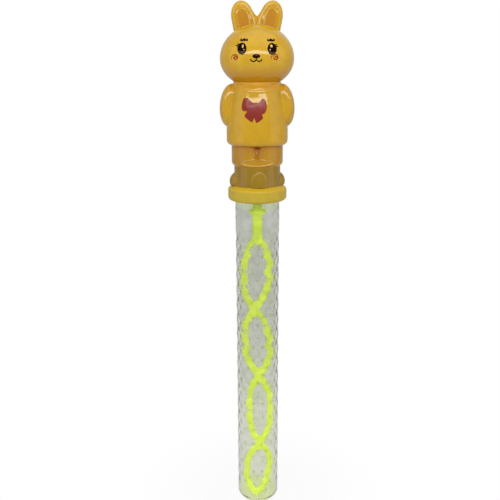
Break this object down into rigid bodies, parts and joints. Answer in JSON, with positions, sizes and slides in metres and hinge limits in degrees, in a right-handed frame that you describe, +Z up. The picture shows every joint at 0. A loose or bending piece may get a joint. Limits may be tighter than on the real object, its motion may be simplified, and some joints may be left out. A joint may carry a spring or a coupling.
{
  "type": "bubble wand",
  "caption": "Clear tube with a rounded foot, closed by a screw collar that carries a flat looped dipping wand below and a hollow rabbit figure handle above.",
  "frame": {"origin": "centre of the tube's foot, on the surface it stands on", "axes": "+Z up along the tube; the rabbit faces -Y"},
  "size_m": [0.0516, 0.0496, 0.37],
  "materials": {
    "clear_tube": "clear, with a moulded lattice of small dimples",
    "collar_plastic": "smooth moulded",
    "washer_foam": "matte foam",
    "wand_plastic": "smooth moulded, slightly translucent",
    "figure_plastic": "glossy thin-walled moulding"
  },
  "bodies": {
    "bottle": {"bottle_tube": "clear_tube"},
    "washer": {"sealing_washer": "washer_foam"},
    "wand": {"wand": "wand_plastic"},
    "cap": {"screw_collar": "collar_plastic", "figure_handle": "figure_plastic"}
  },
  "joints": [
    {"name": "wand_pull", "type": "slide", "parent": "bottle", "child": "washer", "axis": [0, 0, 1], "range_m": [0, 0.26]},
    {"name": "cap_rise", "type": "slide", "parent": "washer", "child": "wand", "axis": [0, 0, 1], "range_m": [0, 0.0061]},
    {"name": "cap_turn", "type": "hinge", "parent": "wand", "child": "cap", "pos_m": [0, 0, 0.2412], "axis": [0, 0, 1], "range_deg": [0, 540]}
  ],
  "couplings": [
    {"joint": "cap_rise", "follows": "cap_turn", "m_per_rad": 0.00063662}
  ]
}
